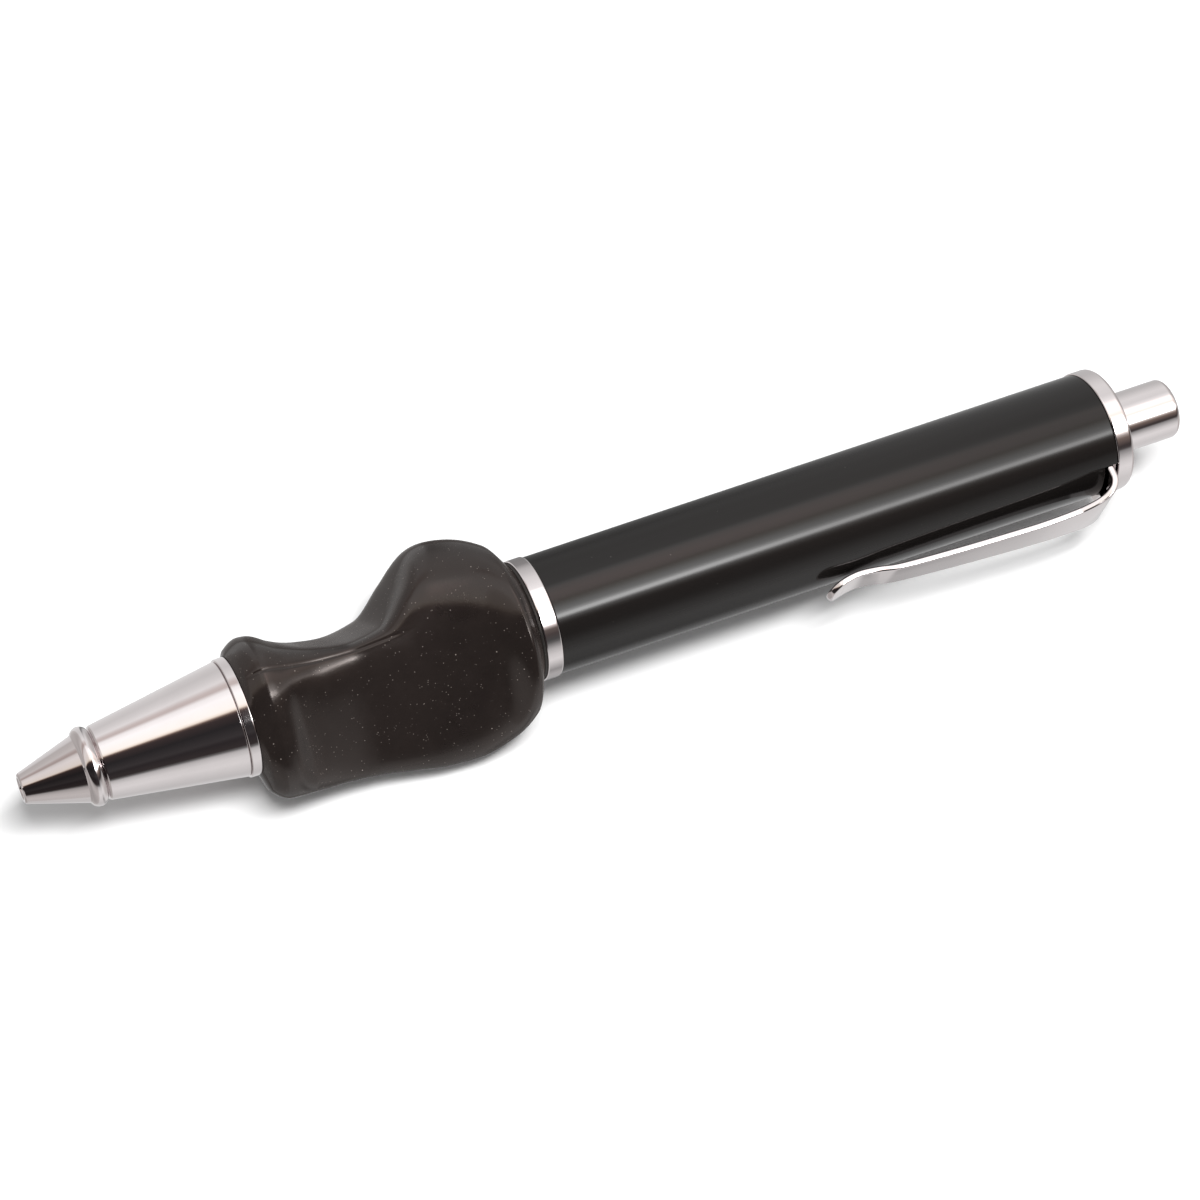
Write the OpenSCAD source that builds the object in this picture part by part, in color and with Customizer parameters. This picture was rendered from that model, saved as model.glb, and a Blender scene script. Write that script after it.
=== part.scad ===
// Retractable ballpoint pen with a moulded three-finger grip.
// Frame: +X runs along the pen axis from the writing end to the push button,
// the origin is the centre of the nose's front face, +Z points up through the
// ridge of the grip. Units are millimetres.
// In names, _r is a radius, _w a width, and _x0 and _x1 are the positions
// along X of a part's front and back.

/* [Nose cone] */
// Outer radius of the nose's front face
nose_tip_r = 1.95; // [1.8:0.05:2.1]
// Radius of the hole the writing point comes out of
nose_bore_r = 1.25; // [1.22:0.01:1.3]
// Length of the nose cone
nose_len = 26.64; // [26.5:0.02:26.8]
// Outer radius at the back of the nose cone
nose_back_r = 7.27; // [7.1:0.05:7.4]
// Peak radius of the half-round bead behind the tip
bead_r = 5.0; // [4.8:0.05:5.2]

/* [Rings] */
// Outer radius of the ring between nose and grip
front_ring_r = 7.44; // [7.3:0.05:7.6]
// Position where the moulded grip starts
grip_x0 = 27.96; // [27.8:0.02:28.1]
// Position where the moulded grip ends
grip_x1 = 63.2; // [63.1:0.02:63.3]
// Outer radius of the middle ring
mid_ring_r = 7.54; // [7.4:0.02:7.7]
// Outer radius of the end ring
end_ring_r = 7.5; // [7.4:0.02:7.7]

/* [Grip] */
// Distance from the axis to the long finger face at the waist
near_dist = 4.95; // [4.85:0.05:5.15]
// Distance from the axis to the short thumb face at the waist
far_dist = 4.75; // [4.7:0.05:5.0]
// Distance from the axis to the underside at the waist
under_dist = 7.8; // [7.4:0.1:8.2]
// Angle of the two upper faces from the ridge, in degrees
face_angle = 53.5; // [50:0.5:58]
// Sharpness of the edges between the faces
ridge_power = 9; // [7:1:12]

/* [Barrel] */
// Outer radius of the upper barrel
barrel_r = 7.35; // [7.3:0.01:7.42]
// Inner radius of the upper barrel
barrel_bore_r = 6.35; // [6.34:0.01:6.4]
// Position of the front edge of the upper barrel
barrel_x0 = 65.6; // [65.6:0.01:65.64]
// Position of the back edge of the upper barrel
barrel_x1 = 134.8; // [134.7:0.05:134.9]

/* [Clip] */
// Direction of the clip around the barrel, in degrees from the ridge
clip_angle = 98; // [90:1:105]
// Thickness of the clip's sheet
clip_t = 0.8; // [0.7:0.05:0.9]
// Width of the clip at its root
clip_root_w = 7.6; // [7.0:0.1:7.8]
// Width of the clip at its tip
clip_tip_w = 3.9; // [3.4:0.1:4.4]

/* [Push button] */
// Radius of the push button
button_r = 3.6; // [3.55:0.01:3.62]
// Position of the button's end face at rest
button_end = 144.85; // [144:0.05:145.5]

/* [Refill] */
// Position of the front of the writing ball at rest
ball_front = 3.0; // [3.0:0.01:3.05]
// Radius of the writing ball
ball_r = 0.5; // [0.4:0.05:0.5]
// Radius of the refill tube
refill_r = 2.95; // [2.9:0.01:2.98]
// Overall length of the refill
refill_len = 98.5; // [98.3:0.1:98.5]

/* [Return spring] */
// Number of turns of the return spring
spring_turns = 9; // [7:1:11]
// Radius of the spring wire
spring_wire_r = 0.2; // [0.15:0.01:0.22]
// Radius of the spring to the middle of its wire
spring_r = 2.05; // [2.0:0.01:2.08]

/* [Hidden] */
$fn = 96;

satin_metal = [0.80, 0.77, 0.77];
bare_metal = [0.70, 0.70, 0.72];

part_gap = 0.02;                    // between faces of neighbouring parts
fit = 0.03;                         // looser clearance around a part
tube_r = 4.3;                       // lower barrel tube under the grip
tube_bore = 3.15;                   // its bore, clear of the refill
boss_r = 5.6;                       // shoulder that carries the middle ring
boss_x0 = 62.3;
boss_bore_r = boss_r + fit;         // hole of the parts around the shoulder
washer_r = 7.5;
mid_x0 = 63.6;                      // front of the middle ring
mid_x1 = barrel_x0 - part_gap;
end_x1 = 136.9;                     // back of the end ring
refill_end = ball_front + refill_len;
shoulder_x = ball_front + 14.9;     // front of the refill's shoulder

// Threads, cut as separate rings
pitch = 0.75;
nose_thread_x0 = 18.3;
nose_thread_root_r = 3.9;           // on the lower barrel
thread_gap = 0.04;
nose_socket_r = tube_r + thread_gap;
nose_socket_x0 = 17.95;
rear_thread_x0 = 66.3;

// ---- Helpers ----
// Turns a shape drawn along +Z so that it lies along +X.
module along_x(x = 0) translate([x, 0, 0]) rotate([0, 90, 0]) children();

// Solid of revolution about the pen axis from [radius, position] points.
module turned(points) along_x() rotate_extrude() polygon(points);

// Tube with both outer edges bevelled.
module bevelled_tube(inner_r, outer_r, x0, x1, bevel)
    turned([[inner_r, x0], [outer_r - bevel, x0], [outer_r, x0 + bevel],
            [outer_r, x1 - bevel], [outer_r - bevel, x1], [inner_r, x1]]);

// Profile of thread rings starting at x0. narrow thins the rings so that a
// male and a female run fit with clearance.
function thread_rings(x0, count, root_r, crest_r, narrow = 0) =
    [for (i = [0 : count - 1])
        for (point = [[root_r, 0.06 + narrow], [crest_r, 0.24 + narrow],
                      [crest_r, 0.44 - narrow], [root_r, 0.62 - narrow]])
            [point[0], x0 + i * pitch + point[1]]];

function reversed(list) = [for (i = [len(list) - 1 : -1 : 0]) list[i]];

// Arc about [centre_r, centre_x]. Angle 0 points to -X, 90 away from the axis.
function arc(centre_r, centre_x, radius, from, to, steps) =
    [for (i = [0 : steps])
        let (angle = from + (to - from) * i / steps)
            [centre_r + radius * sin(angle), centre_x - radius * cos(angle)]];

function centre(loop) = [for (k = [0 : 2])
    [for (point = loop) point[k]] * [for (point = loop) 1] / len(loop)];

// Closed skin through loops of equally many points, with a fan at both ends.
module skin(loops) {
    count = len(loops);
    sides = len(loops[0]);
    last = (count - 1) * sides;     // first point of the last loop
    hub = count * sides;            // centre of the first loop, then the last
    polyhedron(
        points = concat([for (loop = loops) for (point = loop) point],
            [centre(loops[0]), centre(loops[count - 1])]),
        faces = concat(
            [for (i = [0 : count - 2]) for (j = [0 : sides - 1])
                let (next = (j + 1) % sides)
                    [i * sides + j, i * sides + next, (i + 1) * sides + next]],
            [for (i = [0 : count - 2]) for (j = [0 : sides - 1])
                let (next = (j + 1) % sides)
                    [i * sides + j, (i + 1) * sides + next, (i + 1) * sides + j]],
            [for (j = [0 : sides - 1]) [hub, (j + 1) % sides, j]],
            [for (j = [0 : sides - 1])
                [hub + 1, last + j, last + (j + 1) % sides]]));
}

// ---- Nose and lower barrel ----
bead_round_r = 1.15;                // radius of the bead's rounding
bead_x = 8.64;
spring_bore_r = 2.35;
spring_seat_x = 4.8;                // step in the nose in front of the spring

module nose_cone() color(satin_metal)
    turned(concat(
        // outside, from the tip back
        [[nose_bore_r, 0.22], [nose_bore_r + 0.2, 0], [nose_tip_r - 0.2, 0],
         [nose_tip_r, 0.2], [4.2, 7.5]],
        arc(bead_r - bead_round_r, bead_x, bead_round_r, 24, 158, 16),
        [[4.24, 9.78], [4.56, 9.88], [4.68, 10.02],
         [nose_back_r - 0.05, nose_len - 0.12], [nose_back_r - 0.15, nose_len],
         // inside, from the back forward
         [nose_socket_r, nose_len], [nose_socket_r, 26.0]],
        reversed(thread_rings(nose_thread_x0, 10, nose_socket_r,
            nose_thread_root_r + thread_gap, fit)),
        [[nose_socket_r, nose_socket_x0], [tube_bore, nose_socket_x0],
         [tube_bore, 12.0], [spring_bore_r, 11.7],
         [spring_bore_r, spring_seat_x], [1.9, spring_seat_x],
         [nose_bore_r, 4.1]]));

module front_ring() color(satin_metal)
    bevelled_tube(nose_socket_r, front_ring_r,
        nose_len + part_gap, grip_x0 - part_gap, bevel = 0.18);

// Tube under the grip. Its front thread takes the nose, its shoulder carries
// the middle ring, and its rear thread screws into the upper barrel.
rear_thread_root_r = 4.6;
lower_barrel_x0 = nose_socket_x0 + 0.05;
lower_barrel_x1 = 75.0;

module lower_barrel() color([0.78, 0.62, 0.34])
    turned(concat(
        [[tube_bore, lower_barrel_x0], [nose_thread_root_r, lower_barrel_x0]],
        thread_rings(nose_thread_x0 + pitch / 2, 9, nose_thread_root_r,
            tube_r, fit),
        [[nose_thread_root_r, 26.2], [tube_r, 26.4], [tube_r, boss_x0],
         [boss_r, boss_x0], [boss_r, mid_x1], [rear_thread_root_r, mid_x1]],
        thread_rings(rear_thread_x0, 10, rear_thread_root_r, 5.0),
        [[rear_thread_root_r, 74.3], [4.4, lower_barrel_x1],
         [tube_bore, lower_barrel_x1]]));

// ---- Moulded grip ----
// Stations along the grip: position, then the radius of the rounded body in
// six directions, 60 degrees apart, from the ridge round by -Y, then the
// distance from the axis to the flats cut into it: the finger face towards
// -Y, the thumb face towards +Y and the underside. A large distance leaves
// the body round.
grip_stations = [
    [grip_x0, 7.55, 7.5,  7.6,   7.55,  7.6,  7.5,  20, 20, 20],
    [28.7,    8.45, 7.85, 10.0,  8.7,   9.8,  8.1,  18, 18, 18],
    [30.6,    9.15, 8.1,  11.35, 9.3,  11.0,  8.85, 12, 13, 13],
    [34.0,    8.1,  8.05, 11.6,  9.6,  11.4,  8.35,
        near_dist + 1.7, far_dist + 2.65, 9.0],
    [38.0,    7.1,  7.8,  12.1,  9.8,  12.0,  9.6,
        near_dist + 0.45, far_dist + 0.7, under_dist],
    [42.0,    6.85, 7.65, 13.05, 10.0, 12.8, 10.2,
        near_dist, far_dist, under_dist],
    [46.0,    7.1,  7.85, 13.8,  10.6, 13.3, 11.0,
        near_dist + 0.2, far_dist + 0.55, under_dist + 0.8],
    [50.0,    7.4,  8.3,  14.2,  11.6, 13.5, 13.45,
        near_dist + 0.65, far_dist + 4.05, under_dist + 2.0],
    [54.0,    7.8,  8.8,  14.1,  12.3, 13.4, 12.95, near_dist + 1.2, 14, 10.8],
    [58.0,    8.35, 9.4,  13.15, 12.0, 12.6, 12.15, 7.15, 18, 10.9],
    [61.5,    9.1,  9.7,  11.1,  10.3, 10.8, 10.35, 11.5, 20, 13],
    [grip_x1, 7.45, 7.45, 7.45,  7.45, 7.45, 7.45,  20, 20, 20]];
// Columns of the three flats
finger = 7;
thumb = 8;
underside = 9;
grip_loops = 46;
grip_sides = 72;

// Slope of a column between stations i and j.
function chord(column, i, j) =
    (grip_stations[j][column] - grip_stations[i][column])
    / (grip_stations[j][0] - grip_stations[i][0]);

// Slope of a column at station i: the harmonic mean of the slopes on either
// side, or zero at a peak or a dip, so that the curve never overshoots.
function slope(column, i) = let (last = len(grip_stations) - 1)
    i == 0 ? chord(column, 0, 1)
    : i == last ? chord(column, last - 1, last)
    : let (before = chord(column, i - 1, i), after = chord(column, i, i + 1))
        before * after <= 0 ? 0 : 2 * before * after / (before + after);

// Index of the last station that starts a span at or before x.
function station(x, i = 0) =
    i >= len(grip_stations) - 2 || x < grip_stations[i + 1][0]
        ? i : station(x, i + 1);

// Smooth value of a column at position x, by cubic Hermite interpolation.
function value_at(x, column) =
    let (i = station(x), start = grip_stations[i], end = grip_stations[i + 1],
         span = end[0] - start[0], t = (x - start[0]) / span)
    (2 * t * t * t - 3 * t * t + 1) * start[column]
    + (t * t * t - 2 * t * t + t) * span * slope(column, i)
    + (3 * t * t - 2 * t * t * t) * end[column]
    + (t * t * t - t * t) * span * slope(column, i + 1);

// Smooth closed curve through the six radii.
function body_r(x, angle, k = 0) = k > 5 ? 0 :
    let (turn = angle - 60 * k)
    value_at(x, k + 1)
        * (1 + 2 * cos(turn) + 2 * cos(2 * turn) + cos(3 * turn)) / 6
    + body_r(x, angle, k + 1);

// Share of one flat in the blend, for an angle measured from its middle.
function flat_term(angle, distance) =
    cos(angle) <= 0 ? 0 : pow(cos(angle) / distance, ridge_power);

// The body and its three flats, run together with softly rounded edges.
function grip_r(x, angle) = pow(
    pow(body_r(x, angle), -ridge_power)
    + flat_term(angle - face_angle, value_at(x, finger))
    + flat_term(angle + face_angle, value_at(x, thumb))
    + flat_term(angle - 180, value_at(x, underside)), -1 / ridge_power);

// Loops crowd together towards both ends of the grip.
function loop_x(i) = grip_x0 + (grip_x1 - grip_x0)
    * (0.5 - 0.5 * cos(180 * i / (grip_loops - 1)));

module grip() color([0.16, 0.15, 0.15]) difference() {
    skin([for (i = [0 : grip_loops - 1]) let (x = loop_x(i))
        [for (j = [0 : grip_sides - 1])
            let (angle = -360 * j / grip_sides, r = grip_r(x, angle))
            [x, -r * sin(angle), r * cos(angle)]]]);
    along_x(grip_x0 - 1)
        cylinder(r = tube_r + part_gap, h = grip_x1 - grip_x0 + 2);
    along_x(boss_x0 - 0.05) cylinder(r = boss_bore_r, h = 2);
}

// ---- Joint between the two halves of the body ----
module joint_washer() color([0.06, 0.06, 0.06])
    along_x(grip_x1 + part_gap) difference() {
        cylinder(r = washer_r, h = mid_x0 - grip_x1 - 2 * part_gap);
        translate([0, 0, -1]) cylinder(r = boss_bore_r, h = 3);
    }

module mid_ring() color(satin_metal)
    bevelled_tube(boss_bore_r, mid_ring_r, mid_x0, mid_x1, bevel = 0.15);

// ---- Upper barrel and what is fixed in it ----
clip_root_x = 133.9;                // middle of the clip's sheet at its root
end_plug_x0 = 129.6;                // front of the end ring's plug
end_step_x = 131.6;                 // step in the end ring's bore
end_bore_r = 4.5;                   // bore in front of the step
end_round_r = 0.45;

// Cutter for the clip's root, from the given inner distance outwards.
module clip_cut(x0, x1, inner) {
    width = clip_root_w + 2 * 0.15;
    rotate([clip_angle, 0, 0])
        translate([x0, -width / 2, inner]) cube([x1 - x0, width, 6]);
}

module upper_barrel() color([0.06, 0.055, 0.055]) difference() {
    bevelled_tube(barrel_bore_r, barrel_r, barrel_x0, barrel_x1, bevel = 0.1);
    // notch in the back edge that the clip enters through
    clip_cut(133.2, 136.2, inner = 4);
}

module barrel_insert() color([0.80, 0.64, 0.36]) {
    outer_r = barrel_bore_r - part_gap;
    root_r = 5.4;
    crest_r = 5.05;
    x0 = barrel_x0 + 0.1;
    x1 = 80.0;
    turned(concat(
        [[outer_r, x0], [outer_r, x1 - 0.2], [6.1, x1], [crest_r, x1]],
        reversed(thread_rings(rear_thread_x0, 12, root_r, crest_r)),
        [[root_r, x0]]));
}

module end_ring() color(satin_metal) difference() {
    plug_r = barrel_bore_r - fit;
    cap_bore_r = button_r + 0.1;
    turned(concat(
        [[cap_bore_r, end_step_x], [cap_bore_r, end_x1],
         [end_ring_r - 0.55, end_x1]],
        arc(end_ring_r - end_round_r, end_x1 - end_round_r, end_round_r,
            180, 90, 8),
        [[end_ring_r, barrel_x1 + 0.2],
         [end_ring_r - 0.15, barrel_x1 + part_gap],
         [plug_r, barrel_x1 + part_gap], [plug_r, end_plug_x0],
         [end_bore_r, end_plug_x0], [end_bore_r, end_step_x]]));
    clip_cut(clip_root_x - 0.6, clip_root_x + 0.6, inner = 4.8);
}

// ---- Clip ----
// Middle line of the sheet from the tip to the root: position along the pen,
// distance from the axis.
clip_line = [[98.2, 9.35], [99.8, 8.75], [101.3, 8.42], [102.7, 8.36],
    [104.6, 8.62], [107.0, 9.1], [112.9, 9.52], [118.9, 9.82], [125.0, 10.02],
    [129.6, 9.9], [131.8, 9.55], [133.1, 8.85], [133.75, 7.9],
    [clip_root_x, 7.0], [clip_root_x, 5.15]];
clip_tip_x = 98.0 + clip_tip_w / 2; // centre of the rounded tip
// Outline seen from above: position along the pen, half width.
clip_outline = [[clip_tip_x, clip_tip_w / 2], [112, 2.15], [124, 2.5],
    [129, 2.85], [131.6, 3.4], [132.8, clip_root_w / 2],
    [136, clip_root_w / 2]];
clip_reach = 20;                    // extrusion that covers the whole clip

// Catmull-Rom curve from point i to the next, with t from 0 to 1.
function spline(line, i, t) =
    let (last = len(line) - 1,
         before = line[max(i - 1, 0)], start = line[i],
         end = line[min(i + 1, last)], after = line[min(i + 2, last)])
    0.5 * (2 * start + (end - before) * t
        + (2 * before - 5 * start + 4 * end - after) * t * t
        + (3 * start - before - 3 * end + after) * t * t * t);

clip_curve = concat(
    [for (i = [0 : len(clip_line) - 2]) for (k = [0 : 3])
        spline(clip_line, i, k / 4)],
    [clip_line[len(clip_line) - 1]]);

// The line moved sideways by a distance.
function beside(line, distance) = [for (i = [0 : len(line) - 1])
    let (along = line[min(i + 1, len(line) - 1)] - line[max(i - 1, 0)])
        line[i] + distance * [-along[1], along[0]] / norm(along)];

module clip() color(satin_metal) rotate([clip_angle, 0, 0])
    intersection() {
        rotate([90, 0, 0]) linear_extrude(height = clip_reach, center = true)
            polygon(concat(beside(clip_curve, clip_t / 2),
                reversed(beside(clip_curve, -clip_t / 2))));
        union() {
            linear_extrude(height = clip_reach) polygon(concat(
                [for (point = clip_outline) [point[0], -point[1]]],
                reversed(clip_outline)));
            translate([clip_tip_x, 0, 0])
                cylinder(d = clip_tip_w, h = clip_reach);
        }
    }

// ---- Click mechanism ----
sleeve_r = barrel_bore_r - 0.05;
sleeve_x0 = 100.5;
sleeve_x1 = end_plug_x0 - 0.1;
sleeve_bore_r = 3.5;
slot_r = 4.3;                       // reach of the sleeve's slots
rib_r = 4.2;                        // reach of the ribs that run in them
rib_w = 1.0;
cam_r = 3.3;                        // body of the plunger and of the rotor
plunger_x0 = 112.0;
plunger_step_x = 124.0;
stem_r = 2.5;                       // plunger behind its step
rotor_x1 = plunger_x0 - 0.05;

// Four wedges that bound the sleeve's slots.
module slot_wedges() for (k = [0 : 3]) rotate(k * 90)
    polygon([[0, 0], [6, -6 * tan(25)], [6, 6 * tan(25)]]);

module mechanism_housing() color([0.86, 0.86, 0.84])
    difference() {
        turned([[slot_r, sleeve_x0], [sleeve_r - 0.2, sleeve_x0],
                [sleeve_r, sleeve_x0 + 0.2], [sleeve_r, sleeve_x1],
                [sleeve_bore_r, sleeve_x1], [sleeve_bore_r, 109.0],
                [slot_r, 108.9]]);
        along_x(108) linear_extrude(height = 11) intersection() {
            circle(r = slot_r);
            slot_wedges();
        }
        along_x(117.7) cylinder(r = slot_r, h = 14);
        // moulded windows in the sleeve
        for (k = [0 : 3]) rotate([45 + 90 * k, 0, 0])
            translate([101.8, -1.1, 4]) cube([5.0, 2.2, 4]);
    }

// Four ribs with rounded outer faces.
module ribs(x0, x1) for (k = [0 : 3]) intersection() {
    rotate([90 * k, 0, 0]) translate([x0, -rib_w / 2, 2.6])
        cube([x1 - x0, rib_w, 4]);
    along_x(x0 - 1) cylinder(r = rib_r, h = x1 - x0 + 2);
}

// Four V cuts right across the face at x, leaving eight crown teeth. They
// open to +X when facing is 1 and to -X when it is -1.
module crown_cuts(x, facing) for (k = [0 : 3])
    rotate([22.5 + 45 * k, 0, 0]) rotate([90, 0, 0])
        linear_extrude(height = 10, center = true)
            polygon([[x + facing * 0.01, -1.2], [x + facing * 0.01, 1.2],
                     [x - facing * 1.1, 0]]);

module thrust_plunger() color([0.72, 0.74, 0.78]) union() {
    bore_r = 1.4;
    x1 = 129.9;
    difference() {
        turned([[bore_r, plunger_x0], [cam_r, plunger_x0],
                [cam_r, plunger_step_x], [stem_r, plunger_step_x],
                [stem_r, x1 - 0.3], [stem_r - 0.3, x1], [bore_r, x1]]);
        crown_cuts(plunger_x0, facing = -1);
    }
    ribs(114.2, 118.2);
}

module rotor_cam() color([0.92, 0.90, 0.84]) union() {
    x0 = refill_end + 0.06;
    neck_r = 2.4;
    bore_r = 1.6;
    bore_floor_x = 107.5;
    difference() {
        turned([[0, x0], [neck_r - 0.2, x0], [neck_r, x0 + 0.2],
                [neck_r, 106.0], [cam_r, 106.6], [cam_r, rotor_x1],
                [bore_r, rotor_x1], [bore_r, bore_floor_x],
                [0, bore_floor_x]]);
        crown_cuts(rotor_x1, facing = 1);
    }
    ribs(107.6, 110.8);
}

module push_button() color(satin_metal) {
    x0 = plunger_step_x + 0.1;
    hollow_r = stem_r + 0.1;
    hollow_x1 = 142.6;
    flange_r = 4.2;
    flange_x0 = 130.2;
    flange_x1 = end_step_x - 0.1;
    guided_r = button_r - 0.03;     // inside the end ring
    round_r = 0.5;
    turned(concat(
        [[hollow_r, x0], [button_r - 0.2, x0], [button_r, x0 + 0.2],
         [button_r, flange_x0], [flange_r, flange_x0], [flange_r, flange_x1],
         [guided_r, flange_x1], [guided_r, end_x1 + 0.1],
         [button_r, end_x1 + 0.15]],
        arc(button_r - round_r, button_end - round_r, round_r, 90, 180, 8),
        [[0, button_end], [0, hollow_x1], [hollow_r - 0.4, hollow_x1],
         [hollow_r, hollow_x1 - 0.6]]));
}

// ---- Refill ----
refill_bore_r = 2.45;
spigot_r = refill_bore_r - 0.01;    // tip and plug where they enter the tube
tip_collar_x1 = shoulder_x + 0.6;
tip_x1 = shoulder_x + 4.6;
plug_collar_x0 = refill_end - 4;

module ball(radius) translate([ball_front + ball_r, 0, 0]) sphere(r = radius);

module refill_tube() color([0.85, 0.86, 0.88]) {
    x0 = tip_collar_x1 + part_gap;
    x1 = plug_collar_x0 - part_gap;
    turned([[refill_bore_r, x0], [refill_r, x0], [refill_r, x1],
            [refill_bore_r, x1]]);
}

module refill_plug() color([0.20, 0.35, 0.75]) difference() {
    bore_r = 0.6;
    x0 = refill_end - 7.5;
    turned([[bore_r, x0], [2.3, x0], [spigot_r, x0 + 0.2],
            [spigot_r, plug_collar_x0], [refill_r, plug_collar_x0],
            [refill_r, refill_end - 0.3], [refill_r - 0.3, refill_end],
            [bore_r, refill_end]]);
    // crossed slots in the back face
    for (k = [0 : 1]) rotate([45 + 90 * k, 0, 0])
        translate([refill_end - 1.2, -4, -0.55]) cube([3, 8, 1.1]);
}

module refill_tip() color([0.78, 0.66, 0.42]) difference() {
    bore_r = 0.3;
    x0 = ball_front + 0.25;
    turned([[bore_r, x0], [0.62, x0], [0.75, ball_front + 0.6],
            [1.15, ball_front + 2.4], [1.15, ball_front + 7],
            [1.6, ball_front + 8], [1.6, shoulder_x],
            [refill_r, shoulder_x + 0.15], [refill_r, tip_collar_x1],
            [spigot_r, tip_collar_x1], [spigot_r, tip_x1 - 0.2],
            [2.2, tip_x1], [bore_r, tip_x1]]);
    ball(ball_r + 0.015);
}

module ink_column() color([0.05, 0.10, 0.45])
    along_x(tip_x1 + 0.1) cylinder(r = refill_bore_r - part_gap, h = 62);

module writing_ball() color(bare_metal) ball(ball_r);

// ---- Return spring ----
spring_x0 = spring_seat_x + 0.05;
spring_x1 = shoulder_x - 0.05;
spring_steps = spring_turns * 14;
wire_sides = 8;
end_share = 0.11;                   // share of the wire in each close end
end_rate = 0.35;                    // advance there, relative to an even coil

// Share of the spring's length reached at share u of its wire. The first and
// last turns lie close together, as on a ground spring end.
function advance(u) =
    u < end_share ? end_rate * u
    : u > 1 - end_share ? 1 - end_rate * (1 - u)
    : end_rate * end_share + (1 - 2 * end_rate * end_share)
        * (u - end_share) / (1 - 2 * end_share);

module return_spring() color(bare_metal)
    skin([for (i = [0 : spring_steps])
        let (u = i / spring_steps, turn = 360 * spring_turns * u,
             outward = [0, cos(turn), sin(turn)],
             x = spring_x0 + spring_wire_r
                 + (spring_x1 - spring_x0 - 2 * spring_wire_r) * advance(u))
        [for (j = [0 : wire_sides - 1]) let (angle = 360 / wire_sides * j)
            [x, 0, 0] + spring_r * outward
                + spring_wire_r * (cos(angle) * outward
                    + sin(angle) * [1, 0, 0])]]);

nose_cone();
front_ring();
lower_barrel();
grip();
joint_washer();
mid_ring();
upper_barrel();
barrel_insert();
end_ring();
clip();
mechanism_housing();
push_button();
thrust_plunger();
rotor_cam();
refill_tube();
refill_plug();
refill_tip();
ink_column();
writing_ball();
return_spring();
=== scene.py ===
# Looks of the retractable ballpoint pen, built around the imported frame.
# Metres; +X from the writing end to the button, +Z up through the grip's ridge.
import math

import bpy
import numpy as np
from mathutils import Matrix, Vector


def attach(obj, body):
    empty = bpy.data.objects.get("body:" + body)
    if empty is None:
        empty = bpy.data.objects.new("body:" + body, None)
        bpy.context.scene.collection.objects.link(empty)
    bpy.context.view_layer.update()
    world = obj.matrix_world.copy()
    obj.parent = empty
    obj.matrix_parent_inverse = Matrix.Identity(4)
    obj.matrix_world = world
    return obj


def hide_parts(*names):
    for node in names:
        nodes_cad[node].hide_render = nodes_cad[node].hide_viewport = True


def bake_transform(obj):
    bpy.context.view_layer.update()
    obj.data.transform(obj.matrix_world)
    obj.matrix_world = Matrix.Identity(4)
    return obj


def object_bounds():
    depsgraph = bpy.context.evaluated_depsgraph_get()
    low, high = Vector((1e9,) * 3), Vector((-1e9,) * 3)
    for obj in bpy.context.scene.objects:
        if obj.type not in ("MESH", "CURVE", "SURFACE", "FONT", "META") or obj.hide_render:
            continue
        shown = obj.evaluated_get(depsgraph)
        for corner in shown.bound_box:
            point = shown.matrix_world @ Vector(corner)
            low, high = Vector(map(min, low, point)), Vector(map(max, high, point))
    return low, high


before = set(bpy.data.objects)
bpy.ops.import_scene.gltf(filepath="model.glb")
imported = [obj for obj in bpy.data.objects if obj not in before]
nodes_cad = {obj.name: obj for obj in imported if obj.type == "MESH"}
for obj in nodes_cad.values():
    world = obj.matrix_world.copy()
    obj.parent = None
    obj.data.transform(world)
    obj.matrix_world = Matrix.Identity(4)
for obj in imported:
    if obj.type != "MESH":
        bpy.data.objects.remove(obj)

cad_lo, cad_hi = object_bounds()
scene = bpy.context.scene
MM = 0.001


# --------------------------------------------------------------------------
# mesh helpers
# --------------------------------------------------------------------------
def make_mesh(name, verts, faces, sharp=32.0):
    me = bpy.data.meshes.new(name)
    me.from_pydata([tuple(v) for v in verts], [], faces)
    me.validate()
    for p in me.polygons:
        p.use_smooth = True
    me.update()
    if sharp is not None:
        me.set_sharp_from_angle(angle=math.radians(sharp))
    ob = bpy.data.objects.new(name, me)
    scene.collection.objects.link(ob)
    return ob


def fillet(points, steps=5):
    """Rounds the corners of a closed (r, x[, radius]) outline."""
    n = len(points)
    out = []
    for i in range(n):
        p = points[i]
        rad = p[2] if len(p) > 2 else 0.0
        c = np.array(p[:2], float)
        if rad <= 0:
            out.append(tuple(c))
            continue
        a = np.array(points[i - 1][:2], float) - c
        b = np.array(points[(i + 1) % n][:2], float) - c
        la, lb = np.linalg.norm(a), np.linalg.norm(b)
        a, b = a / la, b / lb
        half = math.acos(max(-1, min(1, float(a @ b)))) / 2
        d = min(rad / max(math.tan(half), 1e-6), 0.49 * la, 0.49 * lb)
        r = d * math.tan(half)
        mid = (a + b) / np.linalg.norm(a + b)
        centre = c + mid * (r / math.sin(half))
        p0, p1 = c + a * d, c + b * d
        a0 = math.atan2(*(p0 - centre)[::-1])
        a1 = math.atan2(*(p1 - centre)[::-1])
        while a1 - a0 > math.pi:
            a1 -= 2 * math.pi
        while a1 - a0 < -math.pi:
            a1 += 2 * math.pi
        for k in range(steps + 1):
            t = a0 + (a1 - a0) * k / steps
            out.append((centre[0] + r * math.cos(t), centre[1] + r * math.sin(t)))
    return out


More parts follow.
